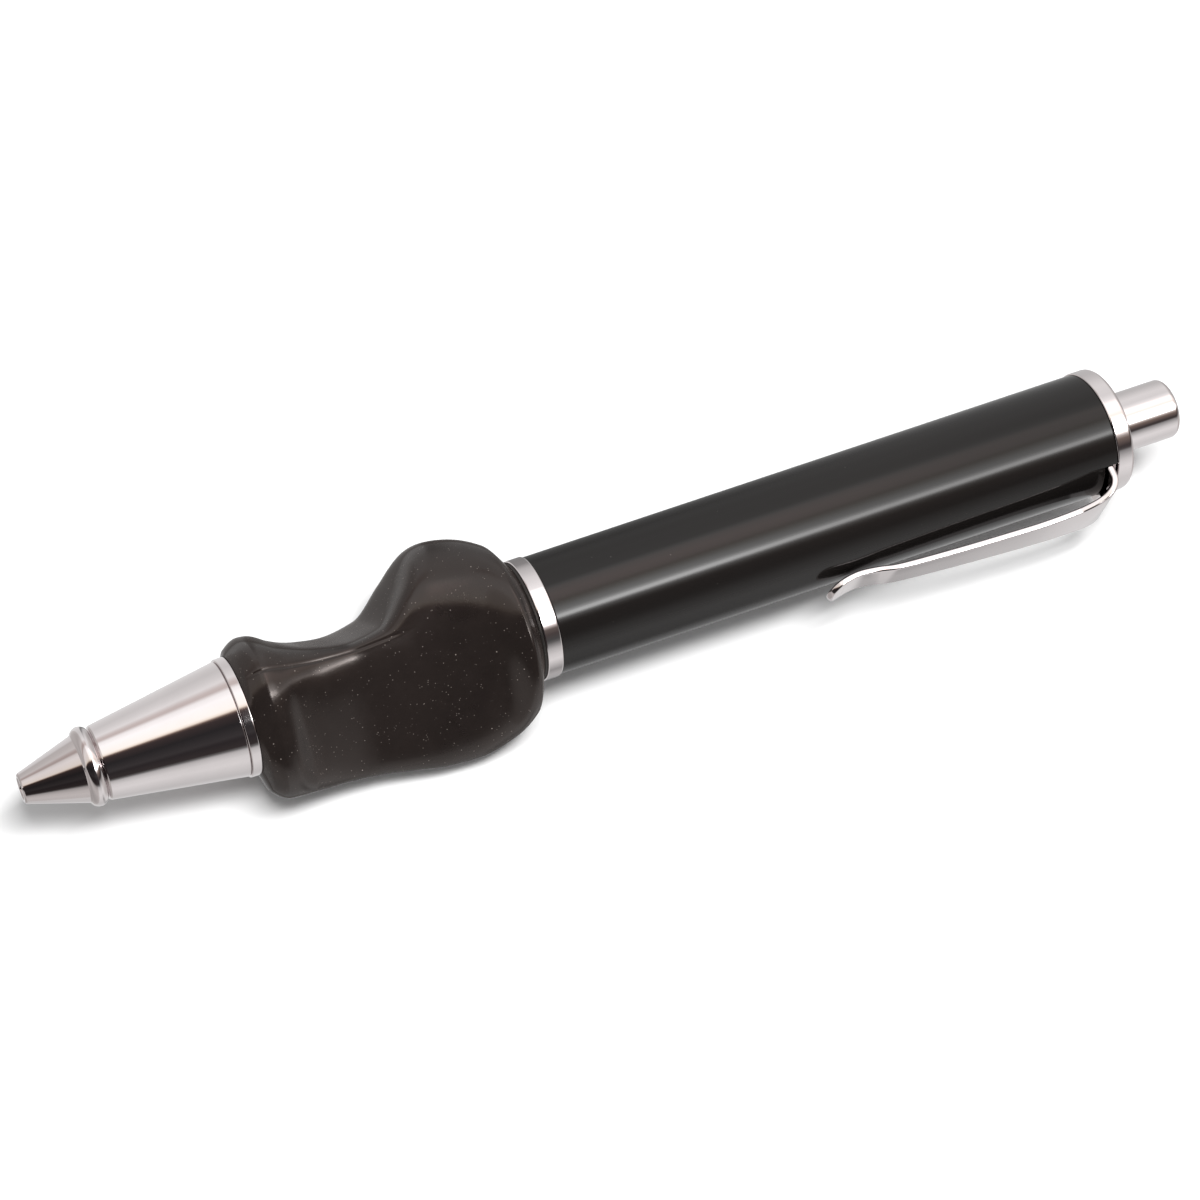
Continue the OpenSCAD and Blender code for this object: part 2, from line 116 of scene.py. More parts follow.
def lathe(name, outline, segs=192, sharp=40.0):
    """Closed solid of revolution about the pen axis. outline: (r, x) in mm,
    a closed loop; points with r = 0 are poles. Long runs get a ring just
    inside both ends, so that their shading stays straight."""
    verts, rings, full = [], [], []
    for (r0, x0), (r1, x1) in zip(outline, outline[1:] + outline[:1]):
        full.append((r0, x0))
        run = math.hypot(r1 - r0, x1 - x0)
        if run > 0.4:
            full += [(r0 + (r1 - r0) * f, x0 + (x1 - x0) * f)
                     for f in (0.03 / run, 1 - 0.03 / run)]
    for r, x in full:
        if r <= 1e-6:
            rings.append([len(verts)])
            verts.append((x * MM, 0, 0))
        else:
            rings.append(list(range(len(verts), len(verts) + segs)))
            for j in range(segs):
                t = 2 * math.pi * j / segs
                verts.append((x * MM, r * math.sin(t) * MM, r * math.cos(t) * MM))
    faces = []
    n = len(rings)
    for i in range(n):
        a, b = rings[i], rings[(i + 1) % n]
        if len(a) == 1 and len(b) == 1:
            continue
        for j in range(segs):
            k = (j + 1) % segs
            if len(a) == 1:
                faces.append((a[0], b[k], b[j]))
            elif len(b) == 1:
                faces.append((a[j], a[k], b[0]))
            else:
                faces.append((a[j], a[k], b[k], b[j]))
    area = sum(p[0] * q[1] - q[0] * p[1]
               for p, q in zip(outline, outline[1:] + outline[:1]))
    if area > 0:
        faces = [tuple(reversed(f)) for f in faces]
    return make_mesh(name, verts, faces, sharp)


def skin(name, rings, sharp=32.0, flip=False):
    """Closed skin through equal rings of points (mm), capped by a fan."""
    m, n = len(rings[0]), len(rings)
    verts = [tuple(c * MM for c in p) for r in rings for p in r]
    for r in (rings[0], rings[-1]):
        c = np.mean(np.array(r, float), 0) * MM
        verts.append(tuple(c))
    faces = []
    for i in range(n - 1):
        for j in range(m):
            k = (j + 1) % m
            faces.append((i * m + j, i * m + k, (i + 1) * m + k, (i + 1) * m + j))
    for j in range(m):
        k = (j + 1) % m
        faces.append((n * m, k, j))
        faces.append((n * m + 1, (n - 1) * m + j, (n - 1) * m + k))
    if flip:
        faces = [tuple(reversed(f)) for f in faces]
    return make_mesh(name, verts, faces, sharp)


def arc(r, x, q, a, b, n=14):
    out = []
    for i in range(n + 1):
        t = math.radians(a + (b - a) * i / n)
        out.append((r + q * math.sin(t), x - q * math.cos(t)))
    return out


# --------------------------------------------------------------------------
# procedural materials
# --------------------------------------------------------------------------
class Mat:
    def __init__(self, name):
        self.m = bpy.data.materials.new(name)
        self.m.use_nodes = True
        self.t = self.m.node_tree
        self.t.nodes.clear()
        self.out = self.t.nodes.new("ShaderNodeOutputMaterial")
        self.b = self.t.nodes.new("ShaderNodeBsdfPrincipled")
        self.t.links.new(self.b.outputs[0], self.out.inputs[0])
        self.co = self.t.nodes.new("ShaderNodeTexCoord").outputs["Object"]

    def node(self, kind, **kw):
        n = self.t.nodes.new(kind)
        for k, v in kw.items():
            setattr(n, k, v)
        return n

    def link(self, a, b):
        self.t.links.new(a, b)

    def put(self, sock, v):
        s = self.b.inputs[sock]
        if hasattr(v, "is_output"):
            self.link(v, s)
        else:
            s.default_value = v

    def math(self, op, a, b=0.0, clamp=False):
        n = self.node("ShaderNodeMath", operation=op, use_clamp=clamp)
        for i, v in enumerate((a, b)):
            if hasattr(v, "is_output"):
                self.link(v, n.inputs[i])
            else:
                n.inputs[i].default_value = v
        return n.outputs[0]

    def scale(self, sx, sy, sz, rot=(0, 0, 0)):
        n = self.node("ShaderNodeMapping")
        n.inputs["Scale"].default_value = (sx, sy, sz)
        n.inputs["Rotation"].default_value = rot
        self.link(self.co, n.inputs["Vector"])
        return n.outputs[0]

    def noise(self, scale, detail=4.0, rough=0.6, vec=None, dist=0.0):
        n = self.node("ShaderNodeTexNoise")
        n.inputs["Scale"].default_value = scale
        n.inputs["Detail"].default_value = detail
        n.inputs["Roughness"].default_value = rough
        n.inputs["Distortion"].default_value = dist
        self.link(vec if vec is not None else self.co, n.inputs["Vector"])
        return n.outputs["Fac"]

    def cells(self, scale, vec=None, feature="F1", rnd=1.0):
        n = self.node("ShaderNodeTexVoronoi", feature=feature)
        n.inputs["Scale"].default_value = scale
        n.inputs["Randomness"].default_value = rnd
        self.link(vec if vec is not None else self.co, n.inputs["Vector"])
        return n

    def ramp(self, v, stops, mode="LINEAR"):
        n = self.node("ShaderNodeValToRGB")
        n.color_ramp.interpolation = mode
        el = n.color_ramp.elements
        while len(el) < len(stops):
            el.new(0.5)
        for e, (p, c) in zip(el, stops):
            e.position = p
            e.color = (c, c, c, 1) if isinstance(c, (int, float)) else (*c, 1)
        self.link(v, n.inputs[0])
        return n.outputs[0]

    def range(self, v, a, b, c, d):
        n = self.node("ShaderNodeMapRange")
        self.link(v, n.inputs["Value"])
        for k, x in zip(("From Min", "From Max", "To Min", "To Max"), (a, b, c, d)):
            n.inputs[k].default_value = x
        return n.outputs[0]

    def mix(self, f, a, b):
        n = self.node("ShaderNodeMix", data_type="RGBA")
        for i, v in ((0, f), (6, a), (7, b)):
            if hasattr(v, "is_output"):
                self.link(v, n.inputs[i])
            elif i == 0:
                n.inputs[i].default_value = v
            else:
                n.inputs[i].default_value = (*v, 1)
        return n.outputs[2]

    def bump(self, h, strength, dist, normal=None):
        n = self.node("ShaderNodeBump")
        n.inputs["Strength"].default_value = strength
        n.inputs["Distance"].default_value = dist
        self.link(h, n.inputs["Height"])
        if normal is not None:
            self.link(normal, n.inputs["Normal"])
        return n.outputs[0]

    def scratches(self, scale, rot, width=0.05):
        """Sparse short hairlines: stretched cell centres, thinned out by a
        coarser mask. 1 on a scratch."""
        v = self.scale(scale * 0.045, scale, scale, rot)
        line = self.range(self.cells(1.0, v).outputs["Distance"], 0.0, width, 1.0, 0.0)
        mask = self.range(self.noise(scale * 0.3, 2.0, 0.6), 0.54, 0.60, 0.0, 1.0)
        return self.math("MULTIPLY", line, mask, True)


def chrome(name, tint=(0.70, 0.655, 0.655), rough=0.045, wear=1.0):
    k = Mat(name)
    smear = k.noise(160.0, 5.0, 0.62, k.scale(0.5, 1.0, 1.0), 0.4)
    fine = k.noise(1500.0, 3.0, 0.6)
    scr = k.math("MAXIMUM", k.scratches(900.0, (0.3, 0.5, 0.2)),
                 k.scratches(700.0, (1.1, -0.4, 1.9)), True)
    pits = k.range(k.cells(1400.0).outputs["Distance"], 0.0, 0.10, 1.0, 0.0)
    pit_mask = k.range(k.noise(420.0, 2.0), 0.60, 0.66, 0.0, 1.0)
    pits = k.math("MULTIPLY", pits, pit_mask, True)
    r = k.range(smear, 0.35, 0.75, rough * 0.7, rough * 1.9)
    r = k.math("ADD", r, k.math("MULTIPLY", scr, 0.16 * wear))
    r = k.math("ADD", r, k.math("MULTIPLY", pits, 0.2), True)
    k.put("Roughness", r)
    dark = tuple(c * 0.93 for c in tint)
    col = k.mix(k.range(smear, 0.3, 0.8, 0.0, 1.0), tint, dark)
    col = k.mix(k.math("MULTIPLY", pits, 0.5), col, (0.30, 0.27, 0.26))
    k.put("Base Color", col)
    k.put("Metallic", 1.0)
    n = k.bump(k.math("ADD", k.math("MULTIPLY", fine, 0.15),
                      k.math("MULTIPLY", scr, -0.8 * wear)), 0.12, 0.00002)
    n = k.bump(k.noise(60.0, 2.0, 0.5), 0.05, 0.0002, n)
    k.put("Normal", n)
    return k.m


def lacquer(name):
    k = Mat(name)
    cloud = k.noise(45.0, 4.0, 0.6, k.scale(0.35, 1.0, 1.0))
    scr = k.math("MAXIMUM", k.scratches(650.0, (0.15, 0.1, 0.05)),
                 k.scratches(520.0, (0.9, 0.7, -0.5), 0.04), True)
    dust = k.range(k.cells(900.0).outputs["Distance"], 0.0, 0.085, 1.0, 0.0)
    dust = k.math("MULTIPLY", dust,
                  k.range(k.noise(260.0, 1.0), 0.62, 0.66, 0.0, 1.0), True)
    base = k.mix(cloud, (0.0085, 0.0074, 0.0070), (0.0115, 0.0098, 0.0092))
    base = k.mix(k.math("MULTIPLY", dust, 0.25), base, (0.35, 0.33, 0.31))
    k.put("Base Color", base)
    k.put("Roughness", k.math(
        "ADD", k.range(cloud, 0.3, 0.7, 0.16, 0.24), k.math("MULTIPLY", scr, 0.1), True))
    k.put("Specular IOR Level", 0.0)
    k.put("Coat Weight", 1.0)
    k.put("Coat IOR", 1.34)
    k.put("Coat Roughness", k.math(
        "ADD", k.range(cloud, 0.3, 0.7, 0.06, 0.085), k.math("MULTIPLY", scr, 0.12), True))
    peel = k.noise(210.0, 2.0, 0.5)
    n = k.bump(peel, 0.05, 0.00006)
    n = k.bump(k.math("MULTIPLY", scr, -1.0), 0.12, 0.00002, n)
    k.put("Normal", n)
    k.put("Coat Normal", n)
    return k.m


def rubber(name, base=(0.0105, 0.0079, 0.0072), light=(0.0175, 0.0133, 0.0120),
           rough=(0.12, 0.20), specks=1.0):
    k = Mat(name)
    blotch = k.noise(70.0, 5.0, 0.6)
    mid = k.noise(420.0, 4.0, 0.65)
    grain = k.noise(3800.0, 3.0, 0.6)
    scr = k.math("MAXIMUM", k.scratches(520.0, (0.5, 0.3, 0.9), 0.045),
                 k.scratches(430.0, (-0.6, 1.0, 0.2), 0.04), True)
    d1 = k.range(k.cells(900.0).outputs["Distance"], 0.0, 0.085, 1.0, 0.0)
    d1 = k.math("MULTIPLY", d1, k.range(k.noise(230.0, 1.0), 0.48, 0.56, 0.0, 1.0), True)
    d2 = k.range(k.cells(2000.0).outputs["Distance"], 0.0, 0.16, 1.0, 0.0)
    d2 = k.math("MULTIPLY", d2, k.range(k.noise(600.0, 1.0), 0.46, 0.56, 0.0, 1.0), True)
    dust = k.math("MAXIMUM", d1, k.math("MULTIPLY", d2, 0.6), True)
    c = k.mix(k.range(blotch, 0.3, 0.7, 0.0, 1.0), base, light)
    c = k.mix(k.math("MULTIPLY", k.range(mid, 0.45, 0.8, 0.0, 1.0), 0.2), c,
              tuple(x * 1.5 for x in light))
    c = k.mix(k.math("MULTIPLY", scr, 0.25 * specks), c, (0.16, 0.15, 0.14))
    c = k.mix(k.math("MULTIPLY", dust, 0.85 * specks), c, (0.46, 0.40, 0.36))
    k.put("Base Color", c)
    r = k.range(mid, 0.3, 0.75, rough[0], rough[1])
    r = k.math("ADD", r, k.math("MULTIPLY", dust, 0.3), True)
    k.put("Roughness", r)
    k.put("IOR", 1.46)
    k.put("Specular Tint", (1.0, 0.90, 0.86, 1))
    k.put("Sheen Weight", 0.05)
    k.put("Sheen Roughness", 0.45)
    k.put("Sheen Tint", (1.0, 0.84, 0.77, 1))
    # the skin of the rubber is duller where it is seen edge on
    edge = k.node("ShaderNodeLayerWeight").outputs["Facing"]
    k.put("Specular IOR Level", k.range(edge, 0.35, 0.76, 0.5, 0.006))
    h = k.math("ADD", k.math("MULTIPLY", grain, 0.35), k.math("MULTIPLY", mid, 0.65))
    h = k.math("ADD", h, k.math("MULTIPLY", dust, 1.2 * specks))
    h = k.math("SUBTRACT", h, k.math("MULTIPLY", scr, 0.6))
    k.put("Normal", k.bump(h, 0.22, 0.00006))
    return k.m


def metal(name, tint, rough=0.28, turned=True):
    k = Mat(name)
    v = k.scale(1.0, 0.03, 0.03) if turned else k.scale(0.05, 1.0, 1.0)
    lines = k.noise(5200.0, 2.0, 0.5, v)
    cloud = k.noise(150.0, 4.0, 0.6)
    stain = k.range(k.noise(330.0, 5.0, 0.7), 0.5, 0.75, 0.0, 0.45)
    c = k.mix(stain, tint, tuple(x * 0.62 for x in tint))
    c = k.mix(k.range(lines, 0.35, 0.65, 0.0, 0.25), c, tuple(min(1, x * 1.15) for x in tint))
    k.put("Base Color", c)
    k.put("Metallic", 1.0)
    k.put("Roughness", k.math(
        "ADD", k.range(cloud, 0.3, 0.7, rough * 0.8, rough * 1.3),
        k.math("MULTIPLY", lines, 0.08), True))
    k.put("Normal", k.bump(lines, 0.25, 0.00001))
    return k.m


def plastic(name, tint, rough=0.4, sub=0.0):
    k = Mat(name)
    cloud = k.noise(120.0, 4.0, 0.6)
    grain = k.noise(2600.0, 3.0, 0.6)
    scr = k.scratches(800.0, (0.4, 0.2, 1.0))
    c = k.mix(k.range(cloud, 0.3, 0.7, 0.0, 1.0), tint, tuple(x * 0.86 for x in tint))
    c = k.mix(k.math("MULTIPLY", scr, 0.3), c, tuple(min(1, x * 1.5 + 0.05) for x in tint))
    k.put("Base Color", c)
    k.put("Roughness", k.range(grain, 0.3, 0.7, rough * 0.85, rough * 1.2))
    if sub:
        k.put("Subsurface Weight", sub)
        k.put("Subsurface Radius", (0.0008, 0.0006, 0.0005))
    k.put("Normal", k.bump(k.math("ADD", k.math("MULTIPLY", grain, 0.5), scr), 0.15, 0.00003))
    return k.m


def paint(ob, mat):
    ob.data.materials.clear()
    ob.data.materials.append(mat)
    for p in ob.data.polygons:
        p.material_index = 0


M_CHROME = chrome("chrome_plate")
M_CLIP = chrome("chrome_clip", rough=0.055)
M_BUTTON = chrome("chrome_button", rough=0.04)
M_BARREL = lacquer("black_lacquer")
M_GRIP = rubber("grip_rubber")
M_WASHER = rubber("washer_rubber", (0.010, 0.0095, 0.009), (0.016, 0.015, 0.014),
                  (0.45, 0.6), 0.3)
M_BRASS = metal("turned_brass", (0.78, 0.56, 0.27), 0.24)
M_BRASS2 = metal("turned_brass_bush", (0.80, 0.60, 0.30), 0.22)
M_STEEL = metal("drawn_steel", (0.62, 0.62, 0.63), 0.24, False)
M_SPRING = metal("spring_wire", (0.66, 0.66, 0.68), 0.18, False)
M_TIP = metal("turned_tip", (0.74, 0.60, 0.36), 0.2)
M_BALL = metal("carbide", (0.55, 0.55, 0.57), 0.12)
M_HOUSING = plastic("white_acetal", (0.72, 0.72, 0.69), 0.42, 0.1)
M_PLUNGER = plastic("grey_acetal", (0.34, 0.38, 0.45), 0.4)
M_ROTOR = plastic("natural_acetal", (0.80, 0.77, 0.68), 0.38, 0.15)
M_PLUG = plastic("blue_plug", (0.05, 0.12, 0.45), 0.35)
M_INK = plastic("ink_paste", (0.008, 0.014, 0.11), 0.2)


def stand_for(ob, node, body, mat):
    paint(ob, mat)
    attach(ob, body)
    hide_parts(node)
    return ob


# --------------------------------------------------------------------------
# turned pieces
# --------------------------------------------------------------------------
NOSE_LEN, GRIP0, GRIP1 = 26.64, 27.96, 63.2
TUBE_BORE = 3.15
PITCH = 0.75


def rings(x0, n, r0, r1, e=0.0):
    out = []
    for i in range(n):
        for r, x in ((r0, 0.06 + e), (r1, 0.24 + e), (r1, 0.44 - e), (r0, 0.62 - e)):
            out.append((r, x0 + i * PITCH + x))
    return out


nose_outer = fillet(
    [(1.25, 4.1), (1.25, 0.20, 0.08), (1.45, 0.0, 0.10), (1.75, 0.0, 0.10),
     (1.95, 0.20, 0.12), (4.22, 7.5, 0.12), (4.6, 7.62, 0.0)])
nose = lathe("nose_cone_shell", (
    [p for p in nose_outer[:-1]]
    + arc(5.0 - 1.15, 8.64, 1.15, 24, 158, 22)
    + fillet([(4.2, 9.74), (4.26, 9.80, 0.03), (4.54, 9.84, 0.06), (4.68, 10.02, 0.15),
              (7.27 - 0.05, NOSE_LEN - 0.14, 0.08), (7.27 - 0.16, NOSE_LEN, 0.05),
              (4.34, NOSE_LEN), (4.34, 26.0)])
    + rings(18.3, 10, 4.34, 3.94, 0.03)[::-1]
    + [(4.34, 17.95), (TUBE_BORE, 17.95), (TUBE_BORE, 12.0), (2.35, 11.7),
       (2.35, 4.8), (1.9, 4.8)]), 224)
stand_for(nose, "nose_cone", "front", M_CHROME)

stand_for(lathe("front_ring_band", fillet(
    [(4.34, NOSE_LEN + 0.02), (7.44, NOSE_LEN + 0.02, 0.14),
     (7.44, GRIP0 - 0.02, 0.14), (4.34, GRIP0 - 0.02)], 7), 224),
    "front_ring", "front", M_CHROME)

stand_for(lathe("joint_washer_disc", fillet(
    [(5.63, GRIP1 + 0.02), (7.5, GRIP1 + 0.02, 0.1), (7.5, GRIP1 + 0.38, 0.1),
     (5.63, GRIP1 + 0.38)], 4), 192),
    "joint_washer", "joint_rings", M_WASHER)

stand_for(lathe("mid_ring_band", fillet(
    [(5.63, 63.6), (7.54, 63.6, 0.16), (7.54, 65.58, 0.16), (5.63, 65.58)], 7), 224),
    "mid_ring", "joint_rings", M_CHROME)

stand_for(lathe("push_button_shell", fillet(
    [(2.6, 124.1), (3.6, 124.1, 0.15), (3.6, 130.2), (4.2, 130.2, 0.1),
     (4.2, 131.5, 0.1), (3.57, 131.5), (3.57, 137.0), (3.6, 137.05),
     (3.6, 144.85, 0.55), (0.0, 144.85), (0.0, 142.6), (2.3, 142.6, 0.2),
     (2.6, 142.2)], 8), 192), "push_button", "button", M_BUTTON)

# --------------------------------------------------------------------------
# moulded grip
# --------------------------------------------------------------------------
# position, then the radius of the rounded body in six directions from the
# ridge round by -Y, then the distances of the three flats cut into it
STATIONS = [
    (27.96, 7.55, 7.5, 7.6, 7.55, 7.6, 7.5, 20, 20, 20),
    (28.7, 8.45, 7.85, 10.0, 8.7, 9.8, 8.1, 18, 18, 18),
    (30.6, 9.15, 8.1, 11.35, 9.3, 11.0, 8.85, 12, 13, 13),
    (34.0, 8.1, 8.05, 11.6, 9.6, 11.4, 8.35, 6.65, 7.4, 9.0),
    (38.0, 7.1, 7.8, 12.1, 9.8, 12.0, 9.6, 5.4, 5.45, 7.8),
    (42.0, 6.85, 7.65, 13.05, 10.0, 12.8, 10.2, 4.95, 4.75, 7.8),
    (46.0, 7.1, 7.85, 13.8, 10.6, 13.3, 11.0, 5.15, 5.3, 8.6),
    (50.0, 7.4, 8.3, 14.2, 11.6, 13.5, 13.45, 5.6, 8.8, 9.8),
    (54.0, 7.8, 8.8, 14.1, 12.3, 13.4, 12.95, 6.15, 14, 10.8),
    (58.0, 8.35, 9.4, 13.15, 12.0, 12.6, 12.15, 7.15, 18, 10.9),
    (61.5, 9.1, 9.7, 11.1, 10.3, 10.8, 10.35, 11.5, 20, 13),
    (63.2, 7.45, 7.45, 7.45, 7.45, 7.45, 7.45, 20, 20, 20),
]


def slope(c, j):
    s, n = STATIONS, len(STATIONS) - 1
    if j <= 0 or j >= n:
        a, b = max(j - 1, 0), min(j + 1, n)
        return (s[b][c] - s[a][c]) / (s[b][0] - s[a][0])
    a = (s[j][c] - s[j - 1][c]) / (s[j][0] - s[j - 1][0])
    b = (s[j + 1][c] - s[j][c]) / (s[j + 1][0] - s[j][0])
    return 0.0 if a * b <= 0 else 2 * a * b / (a + b)


def col(x, c):
    s = STATIONS
    i = 0
    while i < len(s) - 2 and x >= s[i + 1][0]:
        i += 1
    h = s[i + 1][0] - s[i][0]
    t = (x - s[i][0]) / h
    return ((2 * t ** 3 - 3 * t ** 2 + 1) * s[i][c]
            + (t ** 3 - 2 * t ** 2 + t) * h * slope(c, i)
            + (3 * t ** 2 - 2 * t ** 3) * s[i + 1][c]
            + (t ** 3 - t ** 2) * h * slope(c, i + 1))


def lean(a, d):
    c = math.cos(a)
    return 0.0 if c <= 0 else (c / d) ** POWER


FACE_A, POWER = math.radians(53.5), 9.0
STATION_CACHE = {}


def column(x, c):
    if (x, c) not in STATION_CACHE:
        STATION_CACHE[x, c] = col(x, c)
    return STATION_CACHE[x, c]


def grip_r(x, a):
    """Radius at the angle a from the ridge, growing towards -Y."""
    radii = [column(x, c) for c in range(1, 10)]
    body = 0.0
    for k in range(6):
        u = a - math.pi / 3 * k
        body += radii[k] * (1 + 2 * math.cos(u) + 2 * math.cos(2 * u)
                            + math.cos(3 * u)) / 6
    near, far, under = radii[6:]
    return (body ** -POWER + lean(a - FACE_A, near) + lean(a + FACE_A, far)
            + lean(a - math.pi, under)) ** (-1 / POWER)


def seam(x, a):
    """Depth of the fine moulding seam along the ridge."""
    if x > 50.0:
        return 0.0
    fade = min(1.0, max(0.0, (x - GRIP0 - 0.6) / 1.2)) * min(1.0, (50.0 - x) / 5.0)
    d = a * grip_r(x, a)
    return fade * 0.13 * math.exp(-(d / 0.2) ** 2)


def build_grip():
    nx, na = 200, 360
    xs = [GRIP0 + (GRIP1 - GRIP0) * (0.5 - 0.5 * math.cos(math.pi * i / (nx - 1)))
          for i in range(nx)]
    # finer around the ridge, where the seam runs
    angles = []
    for j in range(na):
        u = 2 * j / na - 1
        angles.append(math.pi * (0.35 * u + 0.65 * u ** 3))

    def loop(x, radius):
        return [(x, -r * math.sin(a), r * math.cos(a))
                for a, r in ((a, radius(a)) for a in angles)]

    loops = [loop(GRIP0, lambda a: 6.0)]
    for x in xs:
        loops.append(loop(x, lambda a: grip_r(x, a) - seam(x, a)))
    for r, x in [(5.64, GRIP1), (5.64, 62.25), (4.33, 62.25), (4.33, GRIP0)]:
        loops.append(loop(x, lambda a: r))
    verts = [tuple(c * MM for c in p) for l in loops for p in l]
    n = len(loops)
    faces = []
    for i in range(n):
        k = (i + 1) % n
        for j in range(na):
            l = (j + 1) % na
            faces.append((i * na + j, k * na + j, k * na + l, i * na + l))
    return make_mesh("moulded_grip", verts, faces, 50.0)


stand_for(build_grip(), "grip", "front", M_GRIP)


# --------------------------------------------------------------------------
# upper barrel and end ring, with the clip's notch
# --------------------------------------------------------------------------
CLIP_A = math.radians(98)
RAD = Vector((0, -math.sin(CLIP_A), math.cos(CLIP_A)))   # outwards at the clip
TAN = Vector((0, math.cos(CLIP_A), math.sin(CLIP_A)))    # across the clip


def block(name, x0, x1, w, r0, r1):
    """A cutter: from x0 to x1, w wide, from radius r0 to r1 at the clip."""
    vs = []
    for x in (x0, x1):
        for s in (-w / 2, w / 2):
            for r in (r0, r1):
                vs.append(Vector((x, 0, 0)) * MM + TAN * (s * MM) + RAD * (r * MM))
    fs = [(0, 1, 3, 2), (4, 6, 7, 5), (0, 4, 5, 1), (2, 3, 7, 6), (0, 2, 6, 4), (1, 5, 7, 3)]
    me = bpy.data.meshes.new(name)
    me.from_pydata([tuple(v) for v in vs], [], fs)
    me.validate()
    import bmesh
    bm = bmesh.new()
    bm.from_mesh(me)
    bmesh.ops.recalc_face_normals(bm, faces=bm.faces)
    bm.to_mesh(me)
    bm.free()
    ob = bpy.data.objects.new(name, me)
    scene.collection.objects.link(ob)
    return ob


def cut(ob, cutter, bevel=0.0, sharp=35.0):
    m = ob.modifiers.new("cut", "BOOLEAN")
    m.operation, m.solver, m.object = "DIFFERENCE", "EXACT", cutter
    dg = bpy.context.evaluated_depsgraph_get()
    me = bpy.data.meshes.new_from_object(ob.evaluated_get(dg))
    ob.modifiers.clear()
    old = ob.data
    ob.data = me
    bpy.data.meshes.remove(old)
    cm = cutter.data
    bpy.data.objects.remove(cutter)
    bpy.data.meshes.remove(cm)
    for p in me.polygons:
        p.use_smooth = True
    me.set_sharp_from_angle(angle=math.radians(sharp))
    return ob


barrel = lathe("upper_barrel_tube", fillet(
    [(6.35, 65.6), (7.35, 65.6, 0.1), (7.35, 134.8, 0.1), (6.35, 134.8)], 6), 288)
cut(barrel, block("cutter_a", 133.2, 136.0, 7.9, 4.0, 10.0))
stand_for(barrel, "upper_barrel", "barrel", M_BARREL)

cap = lathe("end_ring_cap", fillet(
    [(3.7, 131.6), (3.7, 136.9, 0.1), (7.5, 136.9, 0.45), (7.5, 134.82, 0.14),
     (6.32, 134.82), (6.32, 129.6), (4.5, 129.6), (4.5, 131.6)], 9), 288)
cut(cap, block("cutter_b", 133.3, 134.5, 7.9, 4.8, 11.0))
stand_for(cap, "end_ring", "barrel", M_CHROME)

# --------------------------------------------------------------------------
# clip
# --------------------------------------------------------------------------
CLIP_LINE = [(98.2, 9.35), (99.8, 8.75), (101.3, 8.42), (102.7, 8.36), (104.6, 8.62),
             (107.0, 9.1), (112.9, 9.52), (118.9, 9.82), (125.0, 10.02), (129.6, 9.9),
             (131.8, 9.55), (133.1, 8.85), (133.75, 7.9), (133.9, 7.0), (133.9, 5.15)]
CLIP_W = [(98.0, 3.9), (104, 3.95), (112, 4.3), (124, 5.0), (129, 5.7), (131.6, 6.8),
          (132.8, 7.6), (140, 7.6)]
CLIP_T, TIP_X, TIP_W = 0.8, 98.0, 3.9


def spline(p, i, t):
    n = len(p) - 1
    a, b = np.array(p[max(i - 1, 0)]), np.array(p[i])
    c, d = np.array(p[min(i + 1, n)]), np.array(p[min(i + 2, n)])
    return 0.5 * (2 * b + (c - a) * t + (2 * a - 5 * b + 4 * c - d) * t * t
                  + (3 * b - a - 3 * c + d) * t ** 3)


def build_clip():
    mid = []
    for i in range(len(CLIP_LINE) - 1):
        for k in range(8):
            mid.append(spline(CLIP_LINE, i, k / 8))
    mid.append(np.array(CLIP_LINE[-1]))
    mid = np.array(mid)
    # extra stations where the rounded tip starts
    length = np.concatenate([[0], np.cumsum(np.linalg.norm(np.diff(mid, axis=0), axis=1))])
    s_tip = [TIP_W / 2 * (1 - math.cos(math.pi / 2 * k / 14)) for k in range(15)]
    s_all = sorted(set([0.015] + s_tip[1:] + [s for s in np.linspace(TIP_W / 2, length[-1], 110)]))
    rings_ = []
    e = 0.24     # edge radius of the sheet
    for s in s_all:
        x = np.interp(s, length, mid[:, 0])
        r = np.interp(s, length, mid[:, 1])
        ds = 0.05
        x1, r1 = np.interp(min(s + ds, length[-1]), length, mid[:, 0]), np.interp(min(s + ds, length[-1]), length, mid[:, 1])
        x0, r0 = np.interp(max(s - ds, 0), length, mid[:, 0]), np.interp(max(s - ds, 0), length, mid[:, 1])
        v = np.array([x1 - x0, r1 - r0])
        v /= np.linalg.norm(v)
        nrm = np.array([-v[1], v[0]])
        w = np.interp(x, [a for a, _ in CLIP_W], [b for _, b in CLIP_W])
        if s < TIP_W / 2:
            w = 2 * math.sqrt(max(1e-4, (TIP_W / 2) ** 2 - (TIP_W / 2 - s) ** 2))
        h, t = w / 2, CLIP_T / 2
        q = min(e, h * 0.9)
        if s < e:
            t = max(0.05, (CLIP_T / 2 - e) + math.sqrt(max(0, e * e - (e - s) ** 2)))
            q = min(q, t)
        pts = []
        for cx, cy, a0 in ((h - q, t - q, 0), (-(h - q), t - q, 90),
                           (-(h - q), -(t - q), 180), (h - q, -(t - q), 270)):
            for k in range(6):
                a = math.radians(a0 + 90 * k / 5)
                pts.append((cx + q * math.cos(a), cy + q * math.sin(a)))
        ring = []
        for u, y in pts:
            base = Vector((x + nrm[0] * y, 0, 0))
            p = base + RAD * (r + nrm[1] * y) + TAN * u
            ring.append(tuple(p))
        rings_.append(ring)
    ob = skin("spring_clip", rings_, 60.0)
    import bmesh
    bm = bmesh.new()
    bm.from_mesh(ob.data)
    bmesh.ops.recalc_face_normals(bm, faces=bm.faces)
    bm.to_mesh(ob.data)
    bm.free()
    return ob


stand_for(build_clip(), "clip", "clip", M_CLIP)

